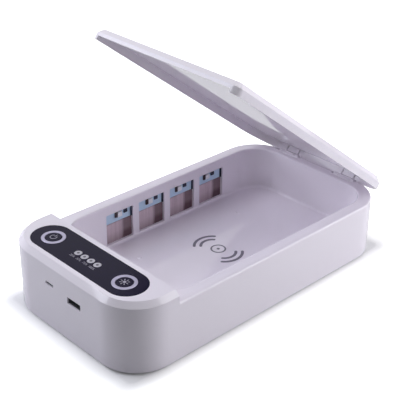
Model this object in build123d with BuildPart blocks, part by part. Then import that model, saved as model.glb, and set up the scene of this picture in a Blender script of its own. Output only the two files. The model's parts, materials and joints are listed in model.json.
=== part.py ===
"""UV sanitizer box for phones: a long white box with a hinged lid.

Frame: origin at the middle of the footprint on the table, +X towards the hinge,
+Y to the left of a user who faces the control panel, +Z up. Millimetres.
The lid is drawn in its own frame, which is tilted open about the hinge pins.
"""
from build123d import *
from math import cos, sin, radians
import os

os.makedirs("parts", exist_ok=True)

# ---------------------------------------------------------------- driving sizes
body_length = 226.0
body_width = 123.0
corner_radius = 27.0
foot_height = 0.8           # what the feet stand proud of the casing
ledge_height = 39.8         # casing underside to the ledge that carries the lid
panel_rise = 7.9            # ledge to the top of the control panel deck
panel_length = 35.7         # end wall to the step between deck and ledge
edge_bevel = 3.2            # bevel round the deck and the lid
base_edge_radius = 1.5
wall = 2.4
deck_thickness = 2.6
deck_inset = 3.6            # hollow under the deck, measured from the outside
ledge_edge_radius = 1.2
mouth_radius = 1.0          # rounded edge between the ledge and the cavity

cavity_rim_side = 8.7       # ledge width along the long sides
cavity_rim_rear = 8.0
cavity_corner_radius = 20.0
cavity_floor_height = 8.2
cavity_floor_radius = 2.0
tub_wall = 2.0
tub_floor = 2.0

window_size = 23.0
window_corner_radius = 0.8
window_sill = 1.5           # cavity floor to the windows
window_pitch = 28.2
window_count = 4
pattern_offset = 1.65       # cavity's middle to the middle of the windows, coil and pips
pip_radius = 1.3
pip_height = 0.5
pip_bevel = 0.3
pip_span_x = 92.0
pip_span_y = 58.0

lid_wall = 2.2
lid_height = 7.7            # rim to the top of the lid
lid_roof = 2.2
lid_gap = 0.2               # closed lid's rim above the ledge
lid_step_gap = 0.4          # lid's free end to the step
lid_rear_gap = 0.25         # lid's rear wall to the casing's rear face
lid_corner_radius = 26.6
lid_free_radius = 5.0
finger_recess_width = 113.0  # in the rim of the free end, between its corners
finger_recess_depth = 2.3
lid_open_angle = 37.5       # degrees open in the rest pose

hinge_inset = 2.0           # hinge axis inside the rear face
hinge_drop = 0.9            # hinge axis below the ledge
hinge_spacing = 51.4        # middle to middle of the two hinges
hinge_arm_width = 9.6
hinge_arm_foot = 1.5        # how far each arm reaches up the lid's rear wall
hinge_barrel_radius = 2.0
hinge_pin_diameter = 1.8
hinge_pin_clearance = 0.15  # between pin and lid arm, all round
knuckle_width = 3.5
knuckle_gap = 0.4           # between lid arm and body knuckle
notch_clearance = 0.35      # round the lid arm's barrel
arm_slit_width = 1.0
arm_slit_depth = 1.6
pin_trough_length = 3.4     # open pocket beside the outer knuckle, to feed the pin in
pin_trough_clearance = 0.4
hinge_block_wall = 2.0      # material under the notch

overlay_length = 97.0
overlay_width = 25.7
overlay_thickness = 1.0
overlay_clearance = 0.1
overlay_step_margin = 3.65  # overlay's edge to the step
button_spacing = 67.2
button_diameter = 10.4
button_clearance = 0.2
button_travel = 0.5
button_stop_gap = 0.1
button_flange_diameter = 13.4
button_flange_thickness = 1.0
button_stem_diameter = 3.6
button_crown_radius = 0.5
bezel_diameter = 15.2
bezel_proud = 0.15
bezel_depth = 0.5           # how deep the ring is let into the overlay
light_pitch = 6.0
light_diameter = 4.8
light_count = 4
light_bar_thickness = 0.8
light_bar_width = 6.4
light_pipe_diameter = 3.0
light_clearance = 0.1

board_thickness = 1.6
board_height = 33.4         # casing underside to the control board's underside
board_edge_gap = 1.6
board_length = 92.0
board_corner_radius = 12.0
board_post_diameter = 5.0
board_post_span_x = 18.0
board_post_span_y = 48.0
board_screw_diameter = 1.8
board_screw_head = 3.6
board_screw_head_height = 1.2
board_screw_head_bevel = 0.4
board_screw_length = 6.0
board_screw_clearance = 0.2
switch_size = 6.0
switch_height = 5.0
plunger_diameter = 3.4
plunger_height = 1.0
plunger_gap = 0.1           # button stem to plunger at full travel
led_chip_size = 2.8
led_chip_height = 1.2
light_chip_gap = 0.8        # light pipe's end to its LED
control_chip_size = 7.0
control_chip_height = 1.0

usb_a_y = -10.3
usb_a_width = 13.1
usb_a_height = 5.3
usb_a_depth = 13.8
usb_a_drop = 1.2            # board underside to the port's shell
usb_a_leg_length = 2.4
usb_a_tongue_width = 10.4
usb_a_tongue_thickness = 1.8
usb_a_tongue_length = 8.6
micro_usb_y = 13.2
micro_usb_width = 8.2
micro_usb_height = 2.7
micro_usb_depth = 5.6
micro_usb_corner = 0.8
micro_usb_tongue_width = 5.2
micro_usb_tongue_thickness = 0.6
micro_usb_tongue_length = 3.6
port_shell = 0.35
port_back = 0.6
port_block = 3.0            # moulded block that carries the tongue
port_lip = 1.0              # casing wall left in front of a port
port_clearance = 0.2

uv_board_height = 11.1
uv_board_thickness = 1.0
uv_board_overlap = 8.2      # how far the board shows in the windows
uv_board_margin = 3.5       # past the outer windows
uv_chip_size = 3.5
uv_chip_height = 1.2
uv_chip_lens = 2.4
uv_chip_pitch = 27.1
uv_chip_shift = 0.75        # the row of lamps sits this much nearer the panel than the windows
uv_chip_drop = 3.3          # below the windows' top
reflector_thickness = 0.5
reflector_gap = 0.4         # board's lower edge to the reflector
reflector_overlap = 1.0     # below the windows
peg_diameter = 2.4
peg_clearance = 0.1
peg_proud = 0.6

coil_outer_radius = 24.0
coil_inner_radius = 10.5
coil_thickness = 1.1
coil_turns = 6
coil_groove_width = 0.3
coil_groove_depth = 0.3
ferrite_size = 50.0
ferrite_corner_radius = 2.0
ferrite_thickness = 0.6
charger_board_length = 34.0
charger_board_width = 26.0
charger_board_gap = 8.0     # ferrite sheet to the charger board
charger_board_thickness = 1.2
charger_chip_size = 6.0
charger_chip_height = 1.0
charger_chip_spacing = 12.0

base_cover_thickness = 2.0
base_cover_clearance = 0.2
base_screw_inset_x = 30.0   # from the cavity's ends
base_screw_inset_y = 12.8   # from the cavity's sides
base_boss_diameter = 7.0
base_screw_diameter = 2.6
base_screw_head = 5.2
base_screw_sink = 0.3       # head below the cover's face
base_screw_length = 6.0
base_screw_clearance = 0.2
cross_recess_width = 0.6
cross_recess_depth = 0.8
foot_diameter = 12.0
foot_recess = 0.6
foot_bevel = 0.4
foot_inset_x = 24.0
foot_inset_y = 18.0

magnet_length = 10.0
magnet_thickness = 1.2
magnet_depth = 3.0
magnet_setback = 14.0       # lid's free end to the magnet's middle
magnet_clearance = 0.05
sensor_length = 12.0
sensor_width = 3.0
sensor_height = 2.2

overshoot = 1.0             # how far a cut runs past the face that it opens
tiny = 0.01

# -------------------------------------------------------------- derived places
base_z = foot_height
ledge_z = base_z + ledge_height
top_z = ledge_z + panel_rise
end_x = -body_length / 2
rear_x = body_length / 2
side_y = body_width / 2
step_x = end_x + panel_length
ledge_under_z = ledge_z - wall
deck_under_z = top_z - deck_thickness
overlay_z = top_z - overlay_thickness

floor_z = base_z + cavity_floor_height
cavity_y = side_y - cavity_rim_side
cavity_rear_x = rear_x - cavity_rim_rear
cavity_length = cavity_rear_x - step_x
cavity_middle_x = (cavity_rear_x + step_x) / 2
pattern_x = cavity_middle_x + pattern_offset
tub_y = cavity_y + tub_wall
tub_under_z = floor_z - tub_floor
window_z = floor_z + window_sill
window_top_z = window_z + window_size
window_xs = [pattern_x + (i - (window_count - 1) / 2) * window_pitch for i in range(window_count)]

hinge_x = rear_x - hinge_inset
hinge_z = ledge_z - hinge_drop
hinge_ys = (hinge_spacing / 2, -hinge_spacing / 2)
notch_radius = hinge_barrel_radius + notch_clearance
notch_width = hinge_arm_width + 2 * knuckle_gap
knuckle_span = notch_width + 2 * knuckle_width
hinge_block_z = hinge_z - notch_radius - hinge_block_wall
trough_radius = hinge_pin_diameter / 2 + pin_trough_clearance

overlay_x = step_x - overlay_step_margin - overlay_width / 2
button_ys = {"left": button_spacing / 2, "right": -button_spacing / 2}
button_bore = button_diameter + 2 * button_clearance
light_ys = [(i - (light_count - 1) / 2) * light_pitch for i in range(light_count)]
light_bar_length = light_count * light_pitch + light_clearance
light_bar_z = overlay_z - light_bar_thickness

board_z = base_z + board_height
board_top_z = board_z + board_thickness
board_x0 = end_x + wall + board_edge_gap
board_x1 = step_x - tub_wall - board_edge_gap
board_middle_x = (board_x0 + board_x1) / 2
board_post_places = [
    (board_middle_x + i * board_post_span_x / 2, j * board_post_span_y / 2) for i in (-1, 1) for j in (-1, 1)
]
plunger_top_z = board_top_z + switch_height + plunger_height
stem_end_z = plunger_top_z + plunger_gap + button_travel
flange_top_z = deck_under_z - button_stop_gap

port_face_x = end_x + port_lip
usb_a_z = board_z - usb_a_drop - usb_a_height / 2
micro_usb_z = board_z - micro_usb_height / 2
ports = (
    (usb_a_y, usb_a_z, usb_a_width, usb_a_height),
    (micro_usb_y, micro_usb_z, micro_usb_width, micro_usb_height),
)

uv_board_length = window_xs[-1] - window_xs[0] + window_size + 2 * uv_board_margin
uv_board_z = window_top_z - uv_board_overlap
uv_board_middle_z = uv_board_z + uv_board_height / 2
reflector_z = window_z - reflector_overlap
reflector_height = uv_board_z - reflector_gap - reflector_z
peg_xs = [(a + b) / 2 for a, b in zip(window_xs, window_xs[1:])]
peg_zs = (uv_board_middle_z, reflector_z + reflector_height / 2)
chip_row_x = pattern_x - uv_chip_shift
chip_z = window_top_z - uv_chip_drop

coil_z = tub_under_z - coil_thickness
charger_board_x = pattern_x + ferrite_size / 2 + charger_board_gap + charger_board_length / 2
cover_top_z = base_z + base_cover_thickness
base_screw_xs = (step_x + base_screw_inset_x, cavity_rear_x - base_screw_inset_x)
base_screw_y = cavity_y - base_screw_inset_y
base_screw_places = [(x, y) for x in base_screw_xs for y in (base_screw_y, -base_screw_y)]
foot_places = GridLocations(body_length - 2 * foot_inset_x, body_width - 2 * foot_inset_y, 2, 2)

# the lid's own frame: origin on the hinge axis, X along the lid, Z out of its roof
tilt = radians(lid_open_angle)
lid_frame = Plane(
    origin=(hinge_x, 0, hinge_z), x_dir=(cos(tilt), 0, -sin(tilt)), z_dir=(sin(tilt), 0, cos(tilt))
)
lid_side = Plane(origin=lid_frame.origin, x_dir=lid_frame.x_dir, z_dir=-lid_frame.y_dir)
lid_up = Axis(lid_frame.origin, lid_frame.z_dir)
lid_free_x = step_x + lid_step_gap - hinge_x
lid_rear_x = rear_x + lid_rear_gap + lid_wall - hinge_x
lid_rear_wall_x = lid_rear_x - lid_wall
lid_rim_z = hinge_drop + lid_gap
lid_bevel_z = lid_rim_z + lid_height - edge_bevel
lid_ceiling_z = lid_rim_z + lid_height - lid_roof
lid_length = lid_rear_x - lid_free_x
magnet_x = lid_free_x + magnet_setback
magnet_y = side_y - lid_wall / 2
sensor_x = hinge_x + magnet_x
sensor_y = (tub_y + side_y - wall) / 2

# ------------------------------------------------------------- shared outlines
with BuildSketch() as body_outline:
    RectangleRounded(body_length, body_width, corner_radius)

with BuildSketch() as panel_outline:
    add(body_outline.sketch)
    with Locations((step_x, 0)):
        Rectangle(body_length, body_width, align=(Align.MIN, Align.CENTER), mode=Mode.SUBTRACT)

with BuildSketch() as panel_hollow:
    add(panel_outline.sketch)
    offset(amount=-deck_inset)
    with Locations((step_x - tub_wall, 0)):
        Rectangle(body_length, body_width, align=(Align.MIN, Align.CENTER), mode=Mode.SUBTRACT)

with BuildSketch() as cavity_outline:
    with Locations((cavity_middle_x, 0)):
        RectangleRounded(cavity_length, 2 * cavity_y, cavity_corner_radius)

with BuildSketch() as lid_outline:
    with Locations((lid_rear_x, 0)):
        RectangleRounded(
            lid_length + 2 * lid_corner_radius, body_width, lid_corner_radius, align=(Align.MAX, Align.CENTER)
        )
    with Locations((lid_free_x, 0)):
        Rectangle(body_length, body_width, align=(Align.MAX, Align.CENTER), mode=Mode.SUBTRACT)
    fillet(lid_outline.vertices().group_by(Axis.X)[0], lid_free_radius)

with BuildSketch() as overlay_outline:
    SlotOverall(overlay_length, overlay_width, rotation=90)

# profile of the notch that clears a lid arm, in a hinge plane: open upwards and to the rear
with BuildSketch() as notch_profile:
    Circle(notch_radius)
    with Locations((-notch_radius, 0)):
        Rectangle(notch_radius + hinge_inset + overshoot, ledge_height, align=(Align.MIN, Align.MIN))
    with Locations((0, -notch_radius)):
        Rectangle(hinge_inset + overshoot, 2 * notch_radius, align=(Align.MIN, Align.MIN))


def hinge_plane(y):
    """Vertical plane across the hinge axis, X to the rear, Y up."""
    return Plane(origin=(hinge_x, y, hinge_z), x_dir=(1, 0, 0), z_dir=(0, -1, 0))


def end_plane(x, y, z):
    """Plane parallel to the end wall that looks out of it: X to the right, Y up."""
    return Plane(origin=(x, y, z), x_dir=(0, -1, 0), z_dir=(-1, 0, 0))


def side_plane(sign, y, x, z):
    """Plane parallel to a long side that looks into the cavity, from the left (sign 1) or right (-1)."""
    return Plane(origin=(x, sign * y, z), x_dir=(sign, 0, 0), z_dir=(0, -sign, 0))


# ------------------------------------------------------------------ upper shell
with BuildPart() as cavity_form:
    with BuildSketch(Plane.XY.offset(floor_z)):
        add(cavity_outline.sketch)
    extrude(amount=top_z - floor_z)
    fillet(cavity_form.faces().sort_by(Axis.Z)[0].edges(), cavity_floor_radius)

# collar with the rounded inner edge of the cavity's mouth, and the form that it leaves to cut away
with BuildPart() as mouth_collar:
    with BuildSketch(Plane.XY.offset(ledge_z - 2 * mouth_radius)):
        add(cavity_outline.sketch)
        offset(amount=3 * mouth_radius)
        add(cavity_outline.sketch, mode=Mode.SUBTRACT)
    extrude(amount=2 * mouth_radius)
    fillet(mouth_collar.faces().sort_by(Axis.Z)[-1].inner_wires()[0].edges(), mouth_radius)

with BuildPart() as mouth_form:
    with BuildSketch(Plane.XY.offset(ledge_z - 2 * mouth_radius)):
        add(cavity_outline.sketch)
        offset(amount=2 * mouth_radius)
    extrude(amount=2 * mouth_radius)
    add(mouth_collar.part, mode=Mode.SUBTRACT)
    with BuildSketch(Plane.XY.offset(base_z)):
        with Locations((step_x, 0)):
            Rectangle(body_length, body_width, align=(Align.MAX, Align.CENTER))
    extrude(amount=top_z, mode=Mode.SUBTRACT)

with BuildPart() as upper_shell:
    # outer block with the raised deck
    with BuildSketch(Plane.XY.offset(base_z)):
        add(body_outline.sketch)
    extrude(amount=ledge_height)
    with BuildSketch(Plane.XY.offset(ledge_z)):
        add(panel_outline.sketch)
    extrude(amount=panel_rise)
    deck_edges = upper_shell.faces().sort_by(Axis.Z)[-1].edges()
    chamfer(deck_edges.filter_by(lambda e: e.center().X < step_x - overshoot), edge_bevel)
    fillet(upper_shell.faces().sort_by(Axis.Z)[0].edges(), base_edge_radius)
    ledge_edges = upper_shell.edges().filter_by(
        lambda e: abs(e.center().Z - ledge_z) < tiny and e.center().X > step_x + tiny
    )
    fillet(ledge_edges, ledge_edge_radius)
    # hollow under the ledge and under the deck
    with BuildSketch(Plane.XY.offset(base_z)):
        add(body_outline.sketch)
        offset(amount=-wall)
    extrude(amount=ledge_height - wall, mode=Mode.SUBTRACT)
    with BuildSketch(Plane.XY.offset(base_z)):
        add(panel_hollow.sketch)
    extrude(amount=deck_under_z - base_z, mode=Mode.SUBTRACT)
    # tub with the hinge blocks behind it
    with BuildSketch(Plane.XY.offset(tub_under_z)):
        add(cavity_outline.sketch)
        offset(amount=tub_wall)
    extrude(amount=ledge_z - mouth_radius - tub_under_z)
    for y in hinge_ys:
        with BuildSketch(Plane.XY.offset(hinge_block_z)):
            with Locations((rear_x - wall / 2, y + pin_trough_length / 2)):
                Rectangle(
                    cavity_rim_rear - wall / 2 - tub_wall / 2,
                    knuckle_span + pin_trough_length + 2 * hinge_block_wall,
                    align=(Align.MAX, Align.CENTER),
                )
        extrude(amount=ledge_under_z - hinge_block_z)
    add(cavity_form.part, mode=Mode.SUBTRACT)
    add(mouth_form.part, mode=Mode.SUBTRACT)
    with BuildSketch(Plane.XY.offset(floor_z)):
        with Locations((pattern_x, 0)):
            with GridLocations(pip_span_x, pip_span_y, 2, 2):
                Circle(pip_radius)
    extrude(amount=pip_height)
    pip_tops = upper_shell.faces().filter_by(Axis.Z).filter_by(
        lambda f: abs(f.center().Z - floor_z - pip_height) < tiny
    )
    chamfer(pip_tops.edges(), pip_bevel)
    # windows through both long walls of the tub
    with BuildSketch(Plane.XZ):
        with Locations(*[(x, window_z + window_size / 2) for x in window_xs]):
            RectangleRounded(window_size, window_size, window_corner_radius)
    extrude(amount=tub_y + tiny, both=True, mode=Mode.SUBTRACT)
    # hinge knuckles, the notches between them and the pin's pocket
    for y in hinge_ys:
        with BuildSketch(hinge_plane(y)):
            Circle(hinge_barrel_radius)
        extrude(amount=knuckle_span / 2, both=True)
        with BuildSketch(hinge_plane(y)):
            add(notch_profile.sketch)
        extrude(amount=notch_width / 2, both=True, mode=Mode.SUBTRACT)
        with BuildSketch(hinge_plane(y + knuckle_span / 2)):
            Circle(trough_radius)
            Rectangle(2 * trough_radius, ledge_height, align=(Align.CENTER, Align.MIN))
        extrude(amount=-pin_trough_length, mode=Mode.SUBTRACT)
        with BuildSketch(hinge_plane(y)):
            Circle(hinge_pin_diameter / 2)
        extrude(amount=knuckle_span / 2, both=True, mode=Mode.SUBTRACT)
    # deck: recess for the overlay, slot for the light bar, bores for buttons and light pipes
    with BuildSketch(Plane.XY.offset(overlay_z)):
        with Locations((overlay_x, 0)):
            add(overlay_outline.sketch)
        offset(amount=overlay_clearance)
    extrude(amount=overlay_thickness, mode=Mode.SUBTRACT)
    with BuildSketch(Plane.XY.offset(light_bar_z)):
        with Locations((overlay_x, 0)):
            RectangleRounded(
                light_bar_width + 2 * light_clearance,
                light_bar_length + 2 * light_clearance,
                light_bar_width / 3,
            )
    extrude(amount=light_bar_thickness, mode=Mode.SUBTRACT)
    with BuildSketch(Plane.XY.offset(overlay_z)):
        with Locations(*[(overlay_x, y) for y in button_ys.values()]):
            Circle(button_bore / 2)
        with Locations(*[(overlay_x, y) for y in light_ys]):
            Circle(light_pipe_diameter / 2 + light_clearance)
    extrude(amount=-deck_thickness, mode=Mode.SUBTRACT)
    # ports in the end wall: a thin lip in front, a wider seat behind it
    for y, z, width, height in ports:
        with BuildSketch(end_plane(end_x, y, z)):
            Rectangle(width - 2 * port_shell, height - 2 * port_shell)
        extrude(amount=-wall, mode=Mode.SUBTRACT)
        with BuildSketch(end_plane(port_face_x, y, z)):
            Rectangle(width + 2 * port_clearance, height + 2 * port_clearance)
        extrude(amount=-wall, mode=Mode.SUBTRACT)
    # posts for the control board, bosses for the base cover, staking pegs for the UV boards
    with BuildSketch(Plane.XY.offset(board_top_z)):
        with Locations(*board_post_places):
            Circle(board_post_diameter / 2)
            Circle(board_screw_diameter / 2, mode=Mode.SUBTRACT)
    extrude(amount=deck_under_z - board_top_z)
    with BuildSketch(Plane.XY.offset(cover_top_z)):
        with Locations(*base_screw_places):
            Circle(base_boss_diameter / 2)
    extrude(amount=tub_under_z - cover_top_z)
    with BuildSketch(Plane.XY.offset(cover_top_z)):
        with Locations(*base_screw_places):
            Circle(base_screw_diameter / 2)
    extrude(amount=base_screw_length + base_screw_sink - base_cover_thickness, mode=Mode.SUBTRACT)
    for sign in (1, -1):
        for z, thickness in zip(peg_zs, (uv_board_thickness, reflector_thickness)):
            with BuildSketch(side_plane(sign, tub_y, 0, z)):
                with Locations(*[(sign * x, 0) for x in peg_xs]):
                    Circle(peg_diameter / 2)
            extrude(amount=-thickness - peg_proud)
upper_shell.part.label = "upper_shell"
export_step(upper_shell.part, "parts/upper_shell.step")

# ------------------------------------------------------------------- base cover
with BuildPart() as base_cover:
    with BuildSketch(Plane.XY.offset(base_z)):
        add(body_outline.sketch)
        offset(amount=-wall - base_cover_clearance)
    extrude(amount=base_cover_thickness)
    with BuildSketch(Plane.XY.offset(base_z)):
        with foot_places:
            Circle(foot_diameter / 2)
    extrude(amount=foot_recess, mode=Mode.SUBTRACT)
    with Locations(*[Plane(origin=(x, y, base_z), z_dir=(0, 0, -1)) for x, y in base_screw_places]):
        CounterSinkHole(
            base_screw_diameter / 2 + base_screw_clearance,
            base_screw_head / 2 + base_screw_sink + base_screw_clearance,
        )
base_cover.part.label = "base_cover"
export_step(base_cover.part, "parts/base_cover.step")

with BuildPart() as rubber_feet:
    with BuildSketch():
        with foot_places:
            Circle(foot_diameter / 2)
    extrude(amount=foot_height + foot_recess)
    chamfer(rubber_feet.faces().filter_by(Axis.Z).group_by(Axis.Z)[0].edges(), foot_bevel)
rubber_feet.part.label = "rubber_feet"
export_step(rubber_feet.part, "parts/rubber_feet.step")

# countersunk screws with a cross recess, driven up through the cover
with BuildPart() as base_screws:
    head_z = base_z + base_screw_sink
    head_cone = (base_screw_head - base_screw_diameter) / 2
    with BuildSketch(Plane.XY.offset(head_z)):
        with Locations(*base_screw_places):
            Circle(base_screw_diameter / 2)
    extrude(amount=base_screw_length)
    with Locations(*[(x, y, head_z + head_cone / 2) for x, y in base_screw_places]):
        Cone(base_screw_head / 2, base_screw_diameter / 2, head_cone)
    with BuildSketch(Plane.XY.offset(head_z)):
        with Locations(*base_screw_places):
            Rectangle(base_screw_head * 0.6, cross_recess_width)
            Rectangle(cross_recess_width, base_screw_head * 0.6)
    extrude(amount=cross_recess_depth, mode=Mode.SUBTRACT)
base_screws.part.label = "base_screws"
export_step(base_screws.part, "parts/base_screws.step")

# ---------------------------------------------------------------- control panel
with BuildPart() as control_overlay:
    with BuildSketch(Plane.XY.offset(overlay_z)):
        with Locations((overlay_x, 0)):
            add(overlay_outline.sketch)
        with Locations(*[(overlay_x, y) for y in button_ys.values()]):
            Circle(button_bore / 2, mode=Mode.SUBTRACT)
        with Locations(*[(overlay_x, y) for y in light_ys]):
            Circle(light_diameter / 2 + light_clearance, mode=Mode.SUBTRACT)
    extrude(amount=overlay_thickness)
    with BuildSketch(Plane.XY.offset(top_z)):
        with Locations(*[(overlay_x, y) for y in button_ys.values()]):
            Circle(bezel_diameter / 2 + overlay_clearance)
    extrude(amount=-bezel_depth, mode=Mode.SUBTRACT)
control_overlay.part.label = "control_overlay"
export_step(control_overlay.part, "parts/control_overlay.step")

with BuildPart() as button_bezels:
    with BuildSketch(Plane.XY.offset(top_z - bezel_depth)):
        with Locations(*[(overlay_x, y) for y in button_ys.values()]):
            Circle(bezel_diameter / 2)
            Circle(button_bore / 2, mode=Mode.SUBTRACT)
    extrude(amount=bezel_depth + bezel_proud)
    rim_edges = button_bezels.faces().filter_by(Axis.Z).group_by(Axis.Z)[-1].edges()
    chamfer(rim_edges, bezel_proud)
button_bezels.part.label = "button_bezels"
export_step(button_bezels.part, "parts/button_bezels.step")

for side, y in button_ys.items():
    with BuildPart() as button:
        with BuildSketch(Plane.XY.offset(stem_end_z)):
            with Locations((overlay_x, y)):
                Circle(button_stem_diameter / 2)
        extrude(amount=flange_top_z - stem_end_z)
        with BuildSketch(Plane.XY.offset(flange_top_z - button_flange_thickness)):
            with Locations((overlay_x, y)):
                Circle(button_flange_diameter / 2)
        extrude(amount=button_flange_thickness)
        with BuildSketch(Plane.XY.offset(flange_top_z)):
            with Locations((overlay_x, y)):
                Circle(button_diameter / 2)
        extrude(amount=top_z + bezel_proud - flange_top_z)
        fillet(button.faces().sort_by(Axis.Z)[-1].edges(), button_crown_radius)
    button.part.label = f"button_{side}"
    export_step(button.part, f"parts/button_{side}.step")

# clear moulding: a bar under the overlay, four windows above it and four light pipes below
with BuildPart() as light_guide:
    with BuildSketch(Plane.XY.offset(light_bar_z)):
        with Locations((overlay_x, 0)):
            RectangleRounded(light_bar_width, light_bar_length, light_bar_width / 3)
    extrude(amount=light_bar_thickness)
    with BuildSketch(Plane.XY.offset(overlay_z)):
        with Locations(*[(overlay_x, y) for y in light_ys]):
            Circle(light_diameter / 2)
    extrude(amount=overlay_thickness)
    with BuildSketch(Plane.XY.offset(light_bar_z)):
        with Locations(*[(overlay_x, y) for y in light_ys]):
            Circle(light_pipe_diameter / 2)
    extrude(amount=board_top_z + led_chip_height + light_chip_gap - light_bar_z)
light_guide.part.label = "light_guide"
export_step(light_guide.part, "parts/light_guide.step")

# ---------------------------------------------------------------- control board
with BuildPart() as control_board:
    with BuildSketch(Plane.XY.offset(board_z)) as board_sketch:
        with Locations((board_middle_x, 0)):
            Rectangle(board_x1 - board_x0, board_length)
        fillet(board_sketch.vertices().group_by(Axis.X)[0], board_corner_radius)
        with Locations(*board_post_places):
            Circle(board_screw_diameter / 2 + board_screw_clearance, mode=Mode.SUBTRACT)
    extrude(amount=board_thickness)
control_board.part.label = "control_board"
export_step(control_board.part, "parts/control_board.step")

with BuildPart() as board_screws:
    with BuildSketch(Plane.XY.offset(board_z)):
        with Locations(*board_post_places):
            Circle(board_screw_diameter / 2)
    extrude(amount=board_screw_length)
    with BuildSketch(Plane.XY.offset(board_z)):
        with Locations(*board_post_places):
            Circle(board_screw_head / 2)
    extrude(amount=-board_screw_head_height)
    head_faces = board_screws.faces().filter_by(Axis.Z).group_by(Axis.Z)[0]
    chamfer(head_faces.edges(), board_screw_head_bevel)
    with BuildSketch(Plane.XY.offset(board_z - board_screw_head_height)):
        with Locations(*board_post_places):
            Rectangle(board_screw_head * 0.6, cross_recess_width)
            Rectangle(cross_recess_width, board_screw_head * 0.6)
    extrude(amount=cross_recess_depth, mode=Mode.SUBTRACT)
board_screws.part.label = "board_screws"
export_step(board_screws.part, "parts/board_screws.step")

with BuildPart() as tact_switches:
    with BuildSketch(Plane.XY.offset(board_top_z)):
        with Locations(*[(overlay_x, y) for y in button_ys.values()]):
            RectangleRounded(switch_size, switch_size, switch_size / 10)
    extrude(amount=switch_height)
    with BuildSketch(Plane.XY.offset(board_top_z + switch_height)):
        with Locations(*[(overlay_x, y) for y in button_ys.values()]):
            Circle(plunger_diameter / 2)
    extrude(amount=plunger_height)
tact_switches.part.label = "tact_switches"
export_step(tact_switches.part, "parts/tact_switches.step")

with BuildPart() as indicator_leds:
    with BuildSketch(Plane.XY.offset(board_top_z)):
        with Locations(*[(overlay_x, y) for y in light_ys]):
            Rectangle(led_chip_size, led_chip_size)
    extrude(amount=led_chip_height)
indicator_leds.part.label = "indicator_leds"
export_step(indicator_leds.part, "parts/indicator_leds.step")

with BuildPart() as control_chips:
    with BuildSketch(Plane.XY.offset(board_z)):
        with Locations((board_middle_x, -board_post_span_y / 2 - control_chip_size)):
            Rectangle(control_chip_size, control_chip_size)
        with Locations((board_middle_x, board_post_span_y / 2 + control_chip_size)):
            Rectangle(control_chip_size, control_chip_size / 2)
    extrude(amount=-control_chip_height)
control_chips.part.label = "control_chips"
export_step(control_chips.part, "parts/control_chips.step")

# ------------------------------------------------------------------------ ports
with BuildPart() as usb_a_port:
    with BuildSketch(end_plane(port_face_x, usb_a_y, usb_a_z)):
        Rectangle(usb_a_width, usb_a_height)
    extrude(amount=-usb_a_depth)
    with BuildSketch(end_plane(port_face_x, usb_a_y, usb_a_z)):
        Rectangle(usb_a_width - 2 * port_shell, usb_a_height - 2 * port_shell)
    extrude(amount=port_back - usb_a_depth, mode=Mode.SUBTRACT)
    # legs up to the board
    with BuildSketch(Plane.XY.offset(board_z - usb_a_drop)):
        with Locations((port_face_x + usb_a_depth / 2, usb_a_y)):
            with GridLocations(0, usb_a_width - port_shell, 1, 2):
                Rectangle(usb_a_leg_length, port_shell)
    extrude(amount=usb_a_drop)
usb_a_port.part.label = "usb_a_port"
export_step(usb_a_port.part, "parts/usb_a_port.step")

with BuildPart() as usb_a_tongue:
    inner_height = usb_a_height - 2 * port_shell
    with BuildSketch(end_plane(port_face_x + usb_a_depth - port_back, usb_a_y, usb_a_z)):
        Rectangle(usb_a_width - 2 * port_shell, inner_height)
    extrude(amount=port_block)
    with BuildSketch(end_plane(port_face_x + usb_a_depth - port_back, usb_a_y, usb_a_z)):
        with Locations((0, inner_height / 2 - usb_a_tongue_thickness)):
            Rectangle(usb_a_tongue_width, usb_a_tongue_thickness)
    extrude(amount=port_block + usb_a_tongue_length)
    nose = usb_a_tongue.faces().sort_by(Axis.X)[0]
    chamfer(nose.edges().filter_by(Axis.Y), usb_a_tongue_thickness / 4)
usb_a_tongue.part.label = "usb_a_tongue"
export_step(usb_a_tongue.part, "parts/usb_a_tongue.step")

with BuildPart() as micro_usb_port:
    with BuildSketch(end_plane(port_face_x, micro_usb_y, micro_usb_z)) as micro_usb_mouth:
        Rectangle(micro_usb_width, micro_usb_height)
        chamfer(micro_usb_mouth.vertices().group_by(Axis.Z)[0], micro_usb_corner)
    extrude(amount=-micro_usb_depth)
    with BuildSketch(end_plane(port_face_x, micro_usb_y, micro_usb_z)):
        add(micro_usb_mouth.sketch_local)
        offset(amount=-port_shell)
    extrude(amount=port_back - micro_usb_depth, mode=Mode.SUBTRACT)
micro_usb_port.part.label = "micro_usb_port"
export_step(micro_usb_port.part, "parts/micro_usb_port.step")

with BuildPart() as micro_usb_tongue:
    with BuildSketch(end_plane(port_face_x + micro_usb_depth - port_back, micro_usb_y, micro_usb_z)):
        with Locations((0, micro_usb_tongue_thickness / 2)):
            Rectangle(micro_usb_tongue_width, micro_usb_tongue_thickness)
    extrude(amount=micro_usb_tongue_length)
micro_usb_tongue.part.label = "micro_usb_tongue"
export_step(micro_usb_tongue.part, "parts/micro_usb_tongue.step")

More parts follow.
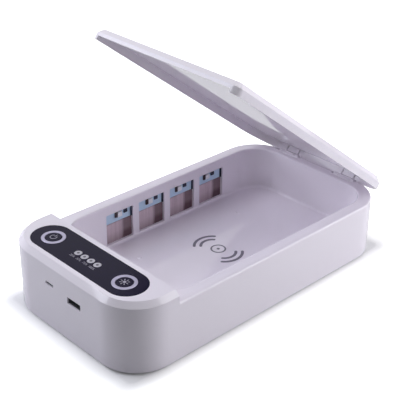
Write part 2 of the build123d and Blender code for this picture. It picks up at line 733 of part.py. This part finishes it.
# ------------------------------------------------- UV boards, lamps, reflectors
for side, sign in (("left", 1), ("right", -1)):
    with BuildPart() as uv_board:
        with BuildSketch(side_plane(sign, tub_y, pattern_x, uv_board_middle_z)):
            Rectangle(uv_board_length, uv_board_height)
            with Locations(*[(sign * (x - pattern_x), 0) for x in peg_xs]):
                Circle(peg_diameter / 2 + peg_clearance, mode=Mode.SUBTRACT)
        extrude(amount=-uv_board_thickness)
    uv_board.part.label = f"uv_board_{side}"
    export_step(uv_board.part, f"parts/uv_board_{side}.step")

    with BuildPart() as uv_leds:
        with BuildSketch(side_plane(sign, tub_y, chip_row_x, chip_z)):
            with GridLocations(uv_chip_pitch, 0, window_count, 1):
                Rectangle(uv_chip_size, uv_chip_size)
        extrude(amount=uv_chip_height)
        with BuildSketch(side_plane(sign, tub_y - uv_chip_height, chip_row_x, chip_z)):
            with GridLocations(uv_chip_pitch, 0, window_count, 1):
                Circle(uv_chip_lens / 2)
        extrude(amount=-uv_chip_height / 4, mode=Mode.SUBTRACT)
    uv_leds.part.label = f"uv_leds_{side}"
    export_step(uv_leds.part, f"parts/uv_leds_{side}.step")

    with BuildPart() as reflector:
        with BuildSketch(side_plane(sign, tub_y, pattern_x, peg_zs[1])):
            Rectangle(uv_board_length, reflector_height)
            with Locations(*[(sign * (x - pattern_x), 0) for x in peg_xs]):
                Circle(peg_diameter / 2 + peg_clearance, mode=Mode.SUBTRACT)
        extrude(amount=-reflector_thickness)
    reflector.part.label = f"reflector_{side}"
    export_step(reflector.part, f"parts/reflector_{side}.step")

# -------------------------------------------------------------- wireless charger
with BuildPart() as charging_coil:
    with BuildSketch(Plane.XY.offset(coil_z)):
        with Locations((pattern_x, 0)):
            Circle(coil_outer_radius)
            Circle(coil_inner_radius, mode=Mode.SUBTRACT)
    extrude(amount=coil_thickness)
    # grooves between the turns, on the underside
    turn_pitch = (coil_outer_radius - coil_inner_radius) / coil_turns
    for turn in range(1, coil_turns):
        groove_radius = coil_inner_radius + turn * turn_pitch
        with BuildSketch(Plane.XY.offset(coil_z)):
            with Locations((pattern_x, 0)):
                Circle(groove_radius + coil_groove_width / 2)
                Circle(groove_radius - coil_groove_width / 2, mode=Mode.SUBTRACT)
        extrude(amount=coil_groove_depth, mode=Mode.SUBTRACT)
charging_coil.part.label = "charging_coil"
export_step(charging_coil.part, "parts/charging_coil.step")

with BuildPart() as ferrite_sheet:
    with BuildSketch(Plane.XY.offset(coil_z - ferrite_thickness)):
        with Locations((pattern_x, 0)):
            RectangleRounded(ferrite_size, ferrite_size, ferrite_corner_radius)
    extrude(amount=ferrite_thickness)
ferrite_sheet.part.label = "ferrite_sheet"
export_step(ferrite_sheet.part, "parts/ferrite_sheet.step")

with BuildPart() as charger_board:
    with BuildSketch(Plane.XY.offset(tub_under_z - charger_board_thickness)):
        with Locations((charger_board_x, 0)):
            Rectangle(charger_board_length, charger_board_width)
    extrude(amount=charger_board_thickness)
charger_board.part.label = "charger_board"
export_step(charger_board.part, "parts/charger_board.step")

with BuildPart() as charger_chips:
    with BuildSketch(Plane.XY.offset(tub_under_z - charger_board_thickness)):
        with Locations((charger_board_x, 0)):
            with GridLocations(charger_chip_spacing, charger_chip_spacing, 2, 2):
                Rectangle(charger_chip_size, charger_chip_size)
    extrude(amount=-charger_chip_height)
charger_chips.part.label = "charger_chips"
export_step(charger_chips.part, "parts/charger_chips.step")

# ------------------------------------------------------------- hinge and sensor
with BuildPart() as hinge_pins:
    for y in hinge_ys:
        with BuildSketch(hinge_plane(y)):
            Circle(hinge_pin_diameter / 2)
        extrude(amount=knuckle_span / 2, both=True)
hinge_pins.part.label = "hinge_pins"
export_step(hinge_pins.part, "parts/hinge_pins.step")

with BuildPart() as lid_sensor:
    with BuildSketch(Plane.XY.offset(ledge_under_z - sensor_height)):
        with Locations((sensor_x, sensor_y)):
            Rectangle(sensor_length, sensor_width)
    extrude(amount=sensor_height)
lid_sensor.part.label = "lid_sensor"
export_step(lid_sensor.part, "parts/lid_sensor.step")

# -------------------------------------------------------------------------- lid
with BuildPart() as lid_shell:
    with BuildSketch(lid_frame.offset(lid_rim_z)):
        add(lid_outline.sketch)
    extrude(amount=lid_height)
    chamfer(lid_shell.faces().sort_by(lid_up)[-1].edges(), edge_bevel)
    with BuildSketch(lid_frame.offset(lid_rim_z)):
        add(lid_outline.sketch)
        offset(amount=-lid_wall)
    extrude(amount=lid_height - lid_roof, mode=Mode.SUBTRACT)
    # recess for a fingertip, along the free end's rim
    with BuildSketch(lid_frame.offset(lid_rim_z)):
        with Locations((lid_free_x, 0)):
            Rectangle(2 * lid_wall + tiny, finger_recess_width)
    extrude(amount=finger_recess_depth, mode=Mode.SUBTRACT)
    # hinge arms: a barrel on the pin, hooked to the rear wall between two slits
    for y in hinge_ys:
        with BuildSketch(lid_side.offset(-y)):
            with BuildLine():
                CenterArc((0, 0), hinge_barrel_radius, 0, 360)
                Line(
                    (lid_rear_wall_x + tiny, lid_rim_z),
                    (lid_rear_wall_x + tiny, lid_rim_z + hinge_arm_foot),
                )
            make_hull()
        extrude(amount=hinge_arm_width / 2, both=True)
        with BuildSketch(lid_side.offset(-y)):
            Circle(hinge_pin_diameter / 2 + hinge_pin_clearance)
        extrude(amount=hinge_arm_width / 2, both=True, mode=Mode.SUBTRACT)
        for side in (-1, 1):
            slit_y = y + side * (hinge_arm_width + arm_slit_width) / 2
            with BuildSketch(lid_side.offset(-slit_y)):
                with BuildLine():
                    Polyline(
                        (lid_rear_wall_x - overshoot, lid_rim_z),
                        (lid_rear_wall_x + arm_slit_depth, lid_rim_z),
                        (lid_rear_wall_x + arm_slit_depth, lid_bevel_z),
                        (lid_rear_wall_x + arm_slit_depth - (lid_ceiling_z - lid_bevel_z), lid_ceiling_z),
                        (lid_rear_wall_x - overshoot, lid_ceiling_z),
                        close=True,
                    )
                make_face()
            extrude(amount=arm_slit_width / 2, both=True, mode=Mode.SUBTRACT)
    # pocket for the magnet, in the left rim
    with BuildSketch(lid_frame.offset(lid_rim_z)):
        with Locations((magnet_x, magnet_y)):
            Rectangle(magnet_length + 2 * magnet_clearance, magnet_thickness + 2 * magnet_clearance)
    extrude(amount=magnet_depth, mode=Mode.SUBTRACT)
lid_shell.part.label = "lid_shell"
export_step(lid_shell.part, "parts/lid_shell.step")

with BuildPart() as lid_magnet:
    with BuildSketch(lid_frame.offset(lid_rim_z)):
        with Locations((magnet_x, magnet_y)):
            Rectangle(magnet_length, magnet_thickness)
    extrude(amount=magnet_depth)
lid_magnet.part.label = "lid_magnet"
export_step(lid_magnet.part, "parts/lid_magnet.step")
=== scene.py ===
"""Looks of the UV sanitizer box: finishes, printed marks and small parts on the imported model."""
import json
from math import atan2, cos, pi, radians, sin

import bmesh
import bpy
from mathutils import Matrix, Vector


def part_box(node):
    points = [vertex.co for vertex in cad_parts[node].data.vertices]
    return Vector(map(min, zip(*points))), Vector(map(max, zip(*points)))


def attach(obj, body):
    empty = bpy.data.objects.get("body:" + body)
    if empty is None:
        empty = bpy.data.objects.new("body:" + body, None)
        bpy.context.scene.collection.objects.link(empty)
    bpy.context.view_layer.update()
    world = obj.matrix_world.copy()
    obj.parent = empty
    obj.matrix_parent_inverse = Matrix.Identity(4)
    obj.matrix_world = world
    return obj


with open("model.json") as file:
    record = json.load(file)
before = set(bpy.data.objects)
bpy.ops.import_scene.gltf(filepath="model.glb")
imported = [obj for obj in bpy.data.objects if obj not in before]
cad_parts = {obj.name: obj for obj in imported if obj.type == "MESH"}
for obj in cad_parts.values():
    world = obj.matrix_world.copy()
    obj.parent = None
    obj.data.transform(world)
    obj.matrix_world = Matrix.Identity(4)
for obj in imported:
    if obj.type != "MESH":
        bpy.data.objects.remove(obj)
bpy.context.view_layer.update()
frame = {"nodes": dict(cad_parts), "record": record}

nodes = frame["nodes"]

mm = 0.001
ink = 0.04 * mm                 # how far a printed mark stands off its surface
tub_floor_thickness = 2.0 * mm  # the charging coil lies right under the cavity's floor
lamp_count = 4                  # indicator windows in the panel, and UV lamps on each board
window_size = 23.0 * mm         # a UV window along the cavity's wall
board_margin = 3.5 * mm         # UV board past the outer windows
lamp_to_window_top = 1.55 * mm


# ---------------------------------------------------------------- node helpers
class Graph:
    """A material's node tree with short calls for the nodes used here."""

    def __init__(self, name):
        self.material = bpy.data.materials.new(name)
        self.material.use_nodes = True
        self.tree = self.material.node_tree
        self.shader = self.tree.nodes["Principled BSDF"]

    def node(self, kind, inputs=None, **settings):
        made = self.tree.nodes.new(kind)
        for key, value in settings.items():
            setattr(made, key, value)
        for key, value in (inputs or {}).items():
            self.plug(value, made.inputs[key])
        return made

    def plug(self, value, socket):
        """Link a node's output to a socket, or write a constant into it."""
        if isinstance(value, bpy.types.NodeSocket):
            self.tree.links.new(value, socket)
        else:
            socket.default_value = value

    def set(self, **inputs):
        """Inputs of the material's shader, with _ for the spaces in their names."""
        for key, value in inputs.items():
            self.plug(value, self.shader.inputs[key.replace("_", " ")])

    def place(self, scale=(1, 1, 1)):
        where = self.node("ShaderNodeTexCoord").outputs["Object"]
        mapping = self.node("ShaderNodeMapping", {"Vector": where, "Scale": scale})
        return mapping.outputs["Vector"]

    def noise(self, size, scale=(1, 1, 1), detail=2.0, rough=0.5):
        where = self.place(scale)
        inputs = {"Vector": where, "Scale": 1 / size, "Detail": detail, "Roughness": rough}
        return self.node("ShaderNodeTexNoise", inputs).outputs["Fac"]

    def maths(self, operation, first, second=0.0):
        made = self.node("ShaderNodeMath", operation=operation)
        self.plug(first, made.inputs[0])
        self.plug(second, made.inputs[1])
        return made.outputs[0]

    def ramp(self, value, low, high, start=0.0, end=1.0):
        """From low, where the value is start, to high, where it is end."""
        inputs = {"Value": value, "From Min": start, "From Max": end, "To Min": low, "To Max": high}
        return self.node("ShaderNodeMapRange", inputs).outputs["Result"]

    def tint(self, value, low, high):
        """Mix of two colours; each is a triple or the output of another mix."""
        made = self.node("ShaderNodeMix", data_type="RGBA")
        self.plug(value, made.inputs["Factor"])
        for colour, socket in ((low, made.inputs[6]), (high, made.inputs[7])):
            linked = isinstance(colour, bpy.types.NodeSocket)
            self.plug(colour if linked else (*colour, 1), socket)
        return made.outputs[2]

    def bump(self, height, depth, strength=1.0):
        inputs = {"Height": height, "Distance": depth, "Strength": strength}
        normal = self.node("ShaderNodeBump", inputs).outputs["Normal"]
        self.plug(normal, self.shader.inputs["Normal"])


def srgb(red, green, blue):
    """Linear colour from 0..255 display values."""
    return tuple(
        c / 12.92 if c <= 0.04045 else ((c + 0.055) / 1.055) ** 2.4
        for c in (red / 255, green / 255, blue / 255)
    )


def dimmed(colour, share):
    return tuple(c * share for c in colour)


# ------------------------------------------------------------------- materials
def moulded_plastic(name, colour, shade, roughness, peel=0.006 * mm, sheen=0.5):
    """Injection-moulded plastic: faint colour drift, uneven gloss, a very shallow orange peel."""
    g = Graph(name)
    g.set(Base_Color=g.tint(g.noise(60 * mm, detail=3), shade, colour))
    g.set(Roughness=g.ramp(g.noise(9 * mm, detail=4), roughness * 0.85, roughness * 1.2))
    g.set(IOR=1.5, Specular_IOR_Level=sheen)
    if peel:
        g.bump(g.noise(2.2 * mm, detail=1.5), peel, 0.35)
    return g.material


def metal(name, colour, roughness, stretch=(1, 1, 1)):
    """Drawn or plated metal: streaks in tone and gloss, stretched along an axis."""
    g = Graph(name)
    streaks = g.noise(0.4 * mm, stretch, detail=3)
    g.set(Base_Color=g.tint(streaks, dimmed(colour, 0.86), colour))
    g.set(Roughness=g.ramp(streaks, roughness * 0.8, roughness * 1.3), Metallic=1.0)
    g.bump(streaks, 0.01 * mm, 0.4)
    return g.material


def circuit_board(name, mask, copper, track_size):
    """Circuit board: solder resist with paler tracks under it."""
    g = Graph(name)
    tracks = g.node("ShaderNodeTexBrick", {
        "Vector": g.place(), "Scale": 1 / track_size, "Mortar Size": 0.06,
        "Color1": (*mask, 1), "Color2": (*mask, 1), "Mortar": (*copper, 1)})
    g.set(Base_Color=tracks.outputs["Color"], Roughness=0.35)
    g.bump(g.noise(0.8 * mm), 0.02 * mm, 0.3)
    return g.material


def soft_rubber(name, colour):
    """Matt rubber or pressed powder with a fine grain."""
    g = Graph(name)
    grain = g.noise(0.5 * mm, detail=4)
    g.set(Base_Color=g.tint(grain, dimmed(colour, 0.7), colour))
    g.set(Roughness=g.ramp(grain, 0.7, 0.9))
    g.bump(grain, 0.05 * mm, 0.5)
    return g.material


def frosted_clear(name, colour):
    """Clear moulding with a hazy face, which lets a little light through."""
    g = Graph(name)
    haze = g.noise(1.2 * mm, detail=3)
    g.set(Base_Color=g.tint(haze, dimmed(colour, 0.9), colour))
    g.set(Roughness=g.ramp(haze, 0.25, 0.4), IOR=1.49, Transmission_Weight=0.2)
    g.bump(haze, 0.02 * mm, 0.3)
    return g.material


def reflector_sheet(name, bright, dull, shadow):
    """Bright rolled sheet in the shade behind the windows: upright streaks, and painted shade that
    darkens each window's view of it to the foot and to the rear."""
    g = Graph(name)
    place = g.node("ShaderNodeSeparateXYZ", {"Vector": g.place()}).outputs
    streaks = g.noise(2.6 * mm, (1, 1, 0.06), detail=4, rough=0.6)

    low_z, high_z = (corner.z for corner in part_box("reflector_left"))
    foot_top = low_z + 0.55 * (high_z - low_z)
    # painted shade: darker towards the foot of the sheet
    foot = g.maths("MULTIPLY", g.ramp(place["Z"], 1.0, 0.0, low_z, foot_top), 0.5)

    lamps_low, lamps_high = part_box("uv_leds_left")
    pitch = (lamps_high.x - lamps_low.x) / (lamp_count - 1)
    along = g.maths("SUBTRACT", place["X"], lamps_low.x + pitch / 2)
    across_window = g.maths("FRACT", g.maths("DIVIDE", along, pitch))
    # painted shade: darker towards the rear of each window, where the jamb's shadow falls
    rear = g.ramp(across_window, 0.0, 0.8, 0.6, 0.7)

    # painted shade: the shadow colour is mixed in by the foot and rear masks
    shade = g.maths("MINIMUM", g.maths("ADD", foot, rear), 1.0)
    g.set(Base_Color=g.tint(shade, g.tint(streaks, dull, bright), shadow))
    g.set(Roughness=g.ramp(streaks, 0.3, 0.5), Metallic=0.15)
    g.bump(streaks, 0.05 * mm, 0.4)
    return g.material


def wound_copper(name, colour, groove):
    """Enamelled wire laid in a flat spiral: rings about the coil's own middle."""
    ring_pitch = 2.8 * mm
    g = Graph(name)
    low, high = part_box("charging_coil")
    middle = (low + high) / 2
    where = g.node("ShaderNodeTexCoord").outputs["Object"]
    about = g.node("ShaderNodeMapping", {
        "Vector": where, "Location": (-middle.x, -middle.y, 0), "Scale": (1, 1, 0)})
    rings = g.node(
        "ShaderNodeTexWave",
        {"Vector": about.outputs["Vector"], "Scale": 1 / ring_pitch / 2, "Distortion": 0.0},
        wave_type="RINGS", rings_direction="SPHERICAL",
    ).outputs["Fac"]
    g.set(Base_Color=g.tint(rings, groove, colour), Metallic=0.9, Roughness=0.32)
    g.bump(rings, 0.1 * mm, 0.5)
    return g.material


def printed(name, colour, roughness=0.4):
    """Screen-printed ink: slightly uneven cover."""
    g = Graph(name)
    cover = g.noise(0.6 * mm, detail=3)
    g.set(Base_Color=g.tint(cover, dimmed(colour, 0.88), colour), Roughness=roughness)
    return g.material


paint = {
    "white_shell": moulded_plastic(
        "white gloss plastic", srgb(249, 243, 251), srgb(247, 241, 249), 0.03, 0.002 * mm),
    "black_gloss": moulded_plastic(
        "black gloss plastic", srgb(25, 20, 46), srgb(23, 18, 43), 0.2, peel=0.0, sheen=0.1),
    "bezel_metal": metal("bezel metal", srgb(172, 168, 190), 0.45, (1, 1, 4)),
    "light_clear": frosted_clear("frosted clear", srgb(214, 211, 220)),
    "board_green": circuit_board("green board", srgb(22, 74, 44), srgb(58, 120, 76), 2.4 * mm),
    "board_white": circuit_board(
        "pale blue board", srgb(214, 238, 252), srgb(198, 224, 244), 3.0 * mm),
    "lamp_white": moulded_plastic("lamp ceramic", srgb(250, 252, 255), srgb(244, 246, 252), 0.45),
    # the third colour is painted shade behind the windows
    "reflector_bright": reflector_sheet(
        "reflector sheet", srgb(240, 222, 230), srgb(176, 152, 160), srgb(100, 74, 80)),
    "part_black": moulded_plastic("moulded black", srgb(34, 34, 37), srgb(26, 26, 28), 0.5),
    "port_steel": metal("port steel", srgb(150, 150, 156), 0.4, (0.2, 1, 1)),
    "screw_steel": metal("screw steel", srgb(186, 186, 190), 0.3),
    "coil_copper": wound_copper("coil copper", srgb(206, 128, 82), srgb(96, 48, 30)),
    "ferrite_grey": soft_rubber("ferrite", srgb(70, 70, 74)),
    "magnet_nickel": metal("magnet nickel", srgb(198, 196, 190), 0.2),
    "foot_rubber": soft_rubber("foot rubber", srgb(86, 86, 90)),
}
grey_ink = printed("grey ink", srgb(122, 116, 130))
pale_ink = printed("pale ink", srgb(168, 164, 178))
lamp_spot = printed("lamp spot", srgb(104, 102, 112), 0.3)
dark_brown = moulded_plastic("dark part", srgb(58, 40, 42), srgb(40, 28, 32), 0.5)
blue_black = moulded_plastic("blue black part", srgb(34, 40, 62), srgb(26, 32, 50), 0.4)

for part in frame["record"]["subparts"]:
    node = nodes[part["node"]]
    node.data.materials.clear()
    node.data.materials.append(paint[part["material_slot"]])


# -------------------------------------------------------------- small geometry
def add_piece(name, mesh, material, body="base"):
    """A mesh piece, in the model's own coordinates, that moves with one CAD body."""
    mesh.materials.clear()
    mesh.materials.append(material)
    made = bpy.data.objects.new(name, mesh)
    bpy.context.scene.collection.objects.link(made)
    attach(made, body)


def printed_piece(name, outlines, level, material, body="base"):
    """Flat outlines of (x, y) points at one height, as one printed piece."""
    vertices, faces = [], []
    for outline in outlines:
        faces.append(tuple(range(len(vertices), len(vertices) + len(outline))))
        vertices += [(x, y, level) for x, y in outline]
    mesh = bpy.data.meshes.new(name)
    mesh.from_pydata(vertices, [], faces)
    add_piece(name, mesh, material, body)


def stroke(path, width, rounded=True):
    """Outline of a line of one width along a flat path of (x, y) points."""
    half = width / 2
    left, right = [], []
    for i, point in enumerate(path):
        before, after = path[max(i - 1, 0)], path[min(i + 1, len(path) - 1)]
        along = (Vector(after) - Vector(before)).normalized()
        side = Vector((-along.y, along.x)) * half
        left.append(Vector(point) + side)
        right.append(Vector(point) - side)
    if not rounded:
        return left + right[::-1]

    def cap(end, before):
        """Half circle round an end of the line, from its left side to its right."""
        heading = atan2(end[1] - before[1], end[0] - before[0])
        turns = [heading + pi / 2 - step * pi / 6 for step in range(1, 6)]
        return [(end[0] + half * cos(turn), end[1] + half * sin(turn)) for turn in turns]

    return left + cap(path[-1], path[-2]) + right[::-1] + cap(path[0], path[1])


def around(middle, radius, degrees):
    """The point at an angle and a distance from a middle."""
    turn = radians(degrees)
    return middle[0] + radius * cos(turn), middle[1] + radius * sin(turn)


def arc(middle, radius, start, stop, steps=24):
    """Points on an arc, angles in degrees."""
    return [around(middle, radius, start + (stop - start) * i / steps) for i in range(steps + 1)]


def disc(middle, radius, points=24):
    """Outline of a round dot."""
    return arc(middle, radius, 0, 360 - 360 / points, points - 1)


def block(name, low, high, material):
    """Small moulded block between two corners, with bevelled edges."""
    mesh = bpy.data.meshes.new(name)
    form = bmesh.new()
    bmesh.ops.create_cube(form, size=1)
    bmesh.ops.scale(form, vec=Vector(high) - Vector(low), verts=form.verts)
    bmesh.ops.translate(form, vec=(Vector(high) + Vector(low)) / 2, verts=form.verts)
    bmesh.ops.bevel(form, geom=form.edges[:], offset=0.15 * mm, segments=2, affect="EDGES")
    form.to_mesh(mesh)
    form.free()
    add_piece(name, mesh, material)


# --------------------------------------------------------------- printed marks
overlay_low, overlay_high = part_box("control_overlay")
guide_low, guide_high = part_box("light_guide")
panel_x = (overlay_low.x + overlay_high.x) / 2


def indicator_y(i):
    """Middle of an indicator window across the panel, counted from the +y end."""
    pitch = (guide_high.y - guide_low.y) / lamp_count
    return guide_high.y - (i + 0.5) * pitch


def charging_mark():
    """Generic wireless-charging sign on the cavity floor: dot, ring and two pairs of arcs."""
    coil_low, coil_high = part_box("charging_coil")
    middle_x = (coil_low.x + coil_high.x) / 2 + 0.6 * mm
    middle_y = (coil_low.y + coil_high.y) / 2 + 2.2 * mm
    ring_radius, ring_line = 4.75 * mm, 1.1 * mm
    arc_radii, arc_line, arc_half_angle = (8.3 * mm, 12.7 * mm), 2.0 * mm, 49
    arcs_apart = 5.0 * mm    # each pair of arcs has its own middle, this far from the dot's

    outlines = [disc((middle_x, middle_y), 1.1 * mm)]
    for start in (0, 180):
        half_ring = arc((middle_x, middle_y), ring_radius, start, start + 180)
        outlines.append(stroke(half_ring, ring_line, rounded=False))
    for heading, side in ((90, 1), (270, -1)):
        arc_middle = (middle_x, middle_y + side * arcs_apart)
        for radius in arc_radii:
            path = arc(arc_middle, radius, heading - arc_half_angle, heading + arc_half_angle)
            outlines.append(stroke(path, arc_line))
    level = coil_high.z + tub_floor_thickness + ink
    printed_piece("charging_mark", outlines, level, grey_ink)


def scale_numbers():
    """Small charge-scale numbers beside the four indicator windows."""
    text_size, text_offset = 2.5 * mm, 4.5 * mm
    for i, label in enumerate(("25%", "50%", "75%", "100%")):
        curve = bpy.data.curves.new("scale_text", "FONT")
        curve.body = label
        curve.size = text_size
        curve.align_x, curve.align_y = "CENTER", "CENTER"
        text = bpy.data.objects.new("scale_text", curve)
        bpy.context.scene.collection.objects.link(text)
        bpy.context.view_layer.update()
        evaluated = text.evaluated_get(bpy.context.evaluated_depsgraph_get())
        mesh = bpy.data.meshes.new_from_object(evaluated)
        bpy.data.objects.remove(text)
        place = (panel_x - text_offset, indicator_y(i), overlay_high.z + ink)
        mesh.transform(Matrix.Translation(place) @ Matrix.Rotation(-pi / 2, 4, "Z"))
        add_piece("scale_number_" + label.strip("%"), mesh, pale_ink)


def button_marks():
    """A power sign on one button and a lamp sign on the other."""
    line = 0.5 * mm
    for side in ("left", "right"):
        low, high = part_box("button_" + side)
        middle = ((low.x + high.x) / 2, (low.y + high.y) / 2)
        if side == "left":
            ring = arc(middle, 2.1 * mm, 35, 325)
            bar = [around(middle, radius, 0) for radius in (0.9 * mm, 2.9 * mm)]
            outlines = [stroke(ring, line), stroke(bar, line)]
        else:
            outlines = [disc(middle, 1.1 * mm)]
            for degrees in range(0, 360, 45):
                spoke = [around(middle, radius, degrees) for radius in (1.8 * mm, 2.9 * mm)]
                outlines.append(stroke(spoke, line))
        printed_piece("button_mark_" + side, outlines, high.z + ink, pale_ink, side + "_button")


def lamp_spots():
    """Each indicator window shows its lamp as a darker spot through the clear moulding."""
    spots = [disc((panel_x, indicator_y(i)), 0.9 * mm, 18) for i in range(lamp_count)]
    printed_piece("lamp_spots", spots, guide_high.z + ink, lamp_spot)


# ------------------------------------------------------------ parts on the boards
def on_board(name, side, x_range, z_range, height, material):
    """A block that stands on a UV board's face towards the cavity."""
    board_low, board_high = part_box("uv_board_" + side)
    face_y, off_face = (board_low.y, -1) if side == "left" else (board_high.y, 1)
    y_range = sorted((face_y, face_y + off_face * height))
    low, high = zip(x_range, y_range, z_range)
    block(name, low, high, material)


def lamp_board_parts():
    """Dark post and bar at each UV lamp's left and top, and a regulator beside it, as they show
    through the windows.
    """
    parts = (   # label, x and z in mm from the lamp's middle, height in mm, material
        # dark blocks at the lamp's left and top
        ("dark_post", (-3.9, -1.8), (-1.8, 3.0), 0.9, dark_brown),
        ("dark_bar", (-3.0, 1.7), (2.3, 3.7), 0.7, dark_brown),
        ("regulator", (3.6, 6.7), (-0.6, 2.0), 0.8, blue_black),
    )
    for side in ("left", "right"):
        lamps_low, lamps_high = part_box("uv_leds_" + side)
        lamp_size = lamps_high.z - lamps_low.z
        pitch = (lamps_high.x - lamps_low.x - lamp_size) / (lamp_count - 1)
        lamp_z = (lamps_low.z + lamps_high.z) / 2
        for i in range(lamp_count):
            lamp_x = lamps_low.x + lamp_size / 2 + i * pitch
            for label, x_range, z_range, height, material in parts:
                on_board(
                    f"{label}_{side}_{i}", side, [lamp_x + x * mm for x in x_range],
                    [lamp_z + z * mm for z in z_range], height * mm, material,
                )


def painted_shade_strips():
    """Painted shade: a dark strip down each window's hinge end, over the board, where the jamb's
    shadow falls.
    """
    strip_width, strip_height = 1.1 * mm, 1.0 * mm
    for side in ("left", "right"):
        board_low, board_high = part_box("uv_board_" + side)
        top_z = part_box("uv_leds_" + side)[1].z + lamp_to_window_top
        first_end = board_low.x + board_margin + window_size
        pitch = (board_high.x - board_margin - first_end) / (lamp_count - 1)
        for i in range(lamp_count):
            end_x = first_end + i * pitch
            # painted shade: a dark piece put where the jamb's shadow falls
            on_board(
                f"painted_shade_strip_{side}_{i}", side, (end_x - strip_width, end_x),
                (board_low.z, top_z), strip_height, blue_black,
            )


charging_mark()
scale_numbers()
button_marks()
lamp_spots()
lamp_board_parts()
# painted shade strips at the windows' ends
painted_shade_strips()


# -------------------------------------------------------------- camera and set
def camera():
    """The lens and place that match the picture's view of the box."""
    eye = (-0.38853, -0.40159, 0.35795)
    yaw, pitch, roll = radians(46.206), radians(-28.617), radians(0.666)
    forward = Vector((cos(pitch) * cos(yaw), cos(pitch) * sin(yaw), sin(pitch)))
    level_right = Vector((sin(yaw), -cos(yaw), 0))
    level_up = level_right.cross(forward)
    right = cos(roll) * level_right + sin(roll) * level_up
    up = cos(roll) * level_up - sin(roll) * level_right
    data = bpy.data.cameras.new("camera")
    data.lens = 89.602
    data.sensor_width = 36
    data.clip_start = 0.01
    made = bpy.data.objects.new("camera", data)
    turn = Matrix((right, up, -forward)).transposed().to_4x4()
    made.matrix_world = Matrix.Translation(eye) @ turn
    bpy.context.scene.collection.objects.link(made)
    bpy.context.scene.camera = made


def room():
    """World that is plain white to the eye and in reflections, and nearly dark as a light."""
    lit_level = 0.03
    white_rays = ("Is Glossy Ray", "Is Transmission Ray", "Is Camera Ray")
    world = bpy.data.worlds.new("studio")
    bpy.context.scene.world = world
    world.use_nodes = True
    tree = world.node_tree
    path = tree.nodes.new("ShaderNodeLightPath")
    level = None
    for ray in white_rays:
        # 1 for this kind of ray, and what the chain gave so far for the others
        rise = tree.nodes.new("ShaderNodeMapRange")
        tree.links.new(path.outputs[ray], rise.inputs["Value"])
        if level is None:
            rise.inputs["To Min"].default_value = lit_level
        else:
            tree.links.new(level, rise.inputs["To Min"])
        level = rise.outputs["Result"]
    back = tree.nodes["Background"]
    tree.links.new(level, back.inputs["Strength"])
    back.inputs["Color"].default_value = (1, 1, 1, 1)


def floor():
    """Floor that is plain white to the eye, with a narrow contact shadow round the box painted into
    its glow, and is dimmer in reflections."""
    half = 3.0
    mirrored_level = 0.25
    bare, white = (0.6, 0.6, 0.6), (0.85, 0.85, 0.85)
    stretch_y = 1.4                                  # the shadow is narrower along y
    reach = (("X", 0.107), ("Y", 0.0777))            # just inside the box's sides, y stretched
    shadow_start, shadow_end, shadow_level = 0.004, 0.025, 0.05

    mesh = bpy.data.meshes.new("floor")
    corners = [(-half, -half, 0), (half, -half, 0), (half, half, 0), (-half, half, 0)]
    mesh.from_pydata(corners, [], [(0, 1, 2, 3)])
    made = bpy.data.objects.new("floor", mesh)
    bpy.context.scene.collection.objects.link(made)

    g = Graph("floor white")
    rays = g.node("ShaderNodeLightPath").outputs
    mirrored = g.maths("MAXIMUM", rays["Is Glossy Ray"], rays["Is Transmission Ray"])
    mirrored = g.maths("MULTIPLY", mirrored, mirrored_level)
    seen = g.maths("MAXIMUM", rays["Is Camera Ray"], mirrored)
    g.set(Base_Color=g.tint(seen, bare, white), Roughness=1.0, Specular_IOR_Level=0.0)

    place = g.node("ShaderNodeSeparateXYZ", {"Vector": g.place((1, stretch_y, 1))}).outputs
    # painted contact shadow: the glow falls to shadow_level next to the box's outline
    squares = []
    for axis, half_size in reach:
        past = g.maths("SUBTRACT", g.maths("ABSOLUTE", place[axis]), half_size)
        squares.append(g.maths("POWER", g.maths("MAXIMUM", past, 0.0), 2.0))
    away = g.maths("SQRT", g.maths("ADD", *squares))
    painted_shadow_glow = g.ramp(away, shadow_level, 1.0, shadow_start, shadow_end)
    g.set(Emission_Color=(1, 1, 1, 1), Emission_Strength=g.maths("MULTIPLY", seen, painted_shadow_glow))
    mesh.materials.append(g.material)


def area_light(name, place, aim, size, power, colour=(1, 1, 1), mirrored=True):
    """Rectangular soft lamp, which glossy surfaces mirror or not."""
    data = bpy.data.lights.new(name, "AREA")
    data.shape = "RECTANGLE"
    data.size, data.size_y = size
    data.energy = power
    data.color = colour
    made = bpy.data.objects.new(name, data)
    made.location = place
    made.rotation_euler = (Vector(aim) - Vector(place)).to_track_quat("-Z", "Y").to_euler()
    made.visible_glossy = mirrored
    bpy.context.scene.collection.objects.link(made)


def lamps():
    """Soft lamps all round: stronger on the left and right, weaker from the front and above."""
    middle = (0, 0, 0.03)
    panel_end = (-0.113, 0.04, 0.03)
    left, right = (-0.05, 0.05, 0.03), (0.05, -0.05, 0.03)
    cool, cold = (0.94, 0.945, 1.0), (0.87, 0.895, 1.0)
    area_light("left graze", (-0.22, 0.62, 0.2), panel_end, (0.3, 0.25), 2.0, cold, mirrored=False)
    area_light("left high", (-0.45, 0.45, 0.6), left, (0.5, 0.4), 2.5, cold)
    area_light("front", (-0.6, -0.6, 0.9), middle, (0.6, 0.5), 0.45, cold)
    area_light("far top", (-0.3, 0.5, 0.9), middle, (0.5, 0.5), 0.65)
    area_light("over", (0.1, 0.15, 0.7), middle, (0.35, 0.35), 0.7)
    area_light("rear high", (0.8, 0.2, 0.9), (0, 0, 0.05), (0.6, 0.5), 0.9)
    area_light("right high", (0.42, -0.48, 0.62), right, (0.5, 0.4), 2.0, cool)
    area_light("right low", (0.5, -0.5, 0.12), right, (0.5, 0.3), 2.6, cool)
    area_light("right rear", (0.5, -0.3, 0.2), (0.113, -0.05, 0.03), (0.3, 0.25), 0.2, cool)


camera()
room()
floor()
lamps()
bpy.context.scene.view_settings.view_transform = "Standard"
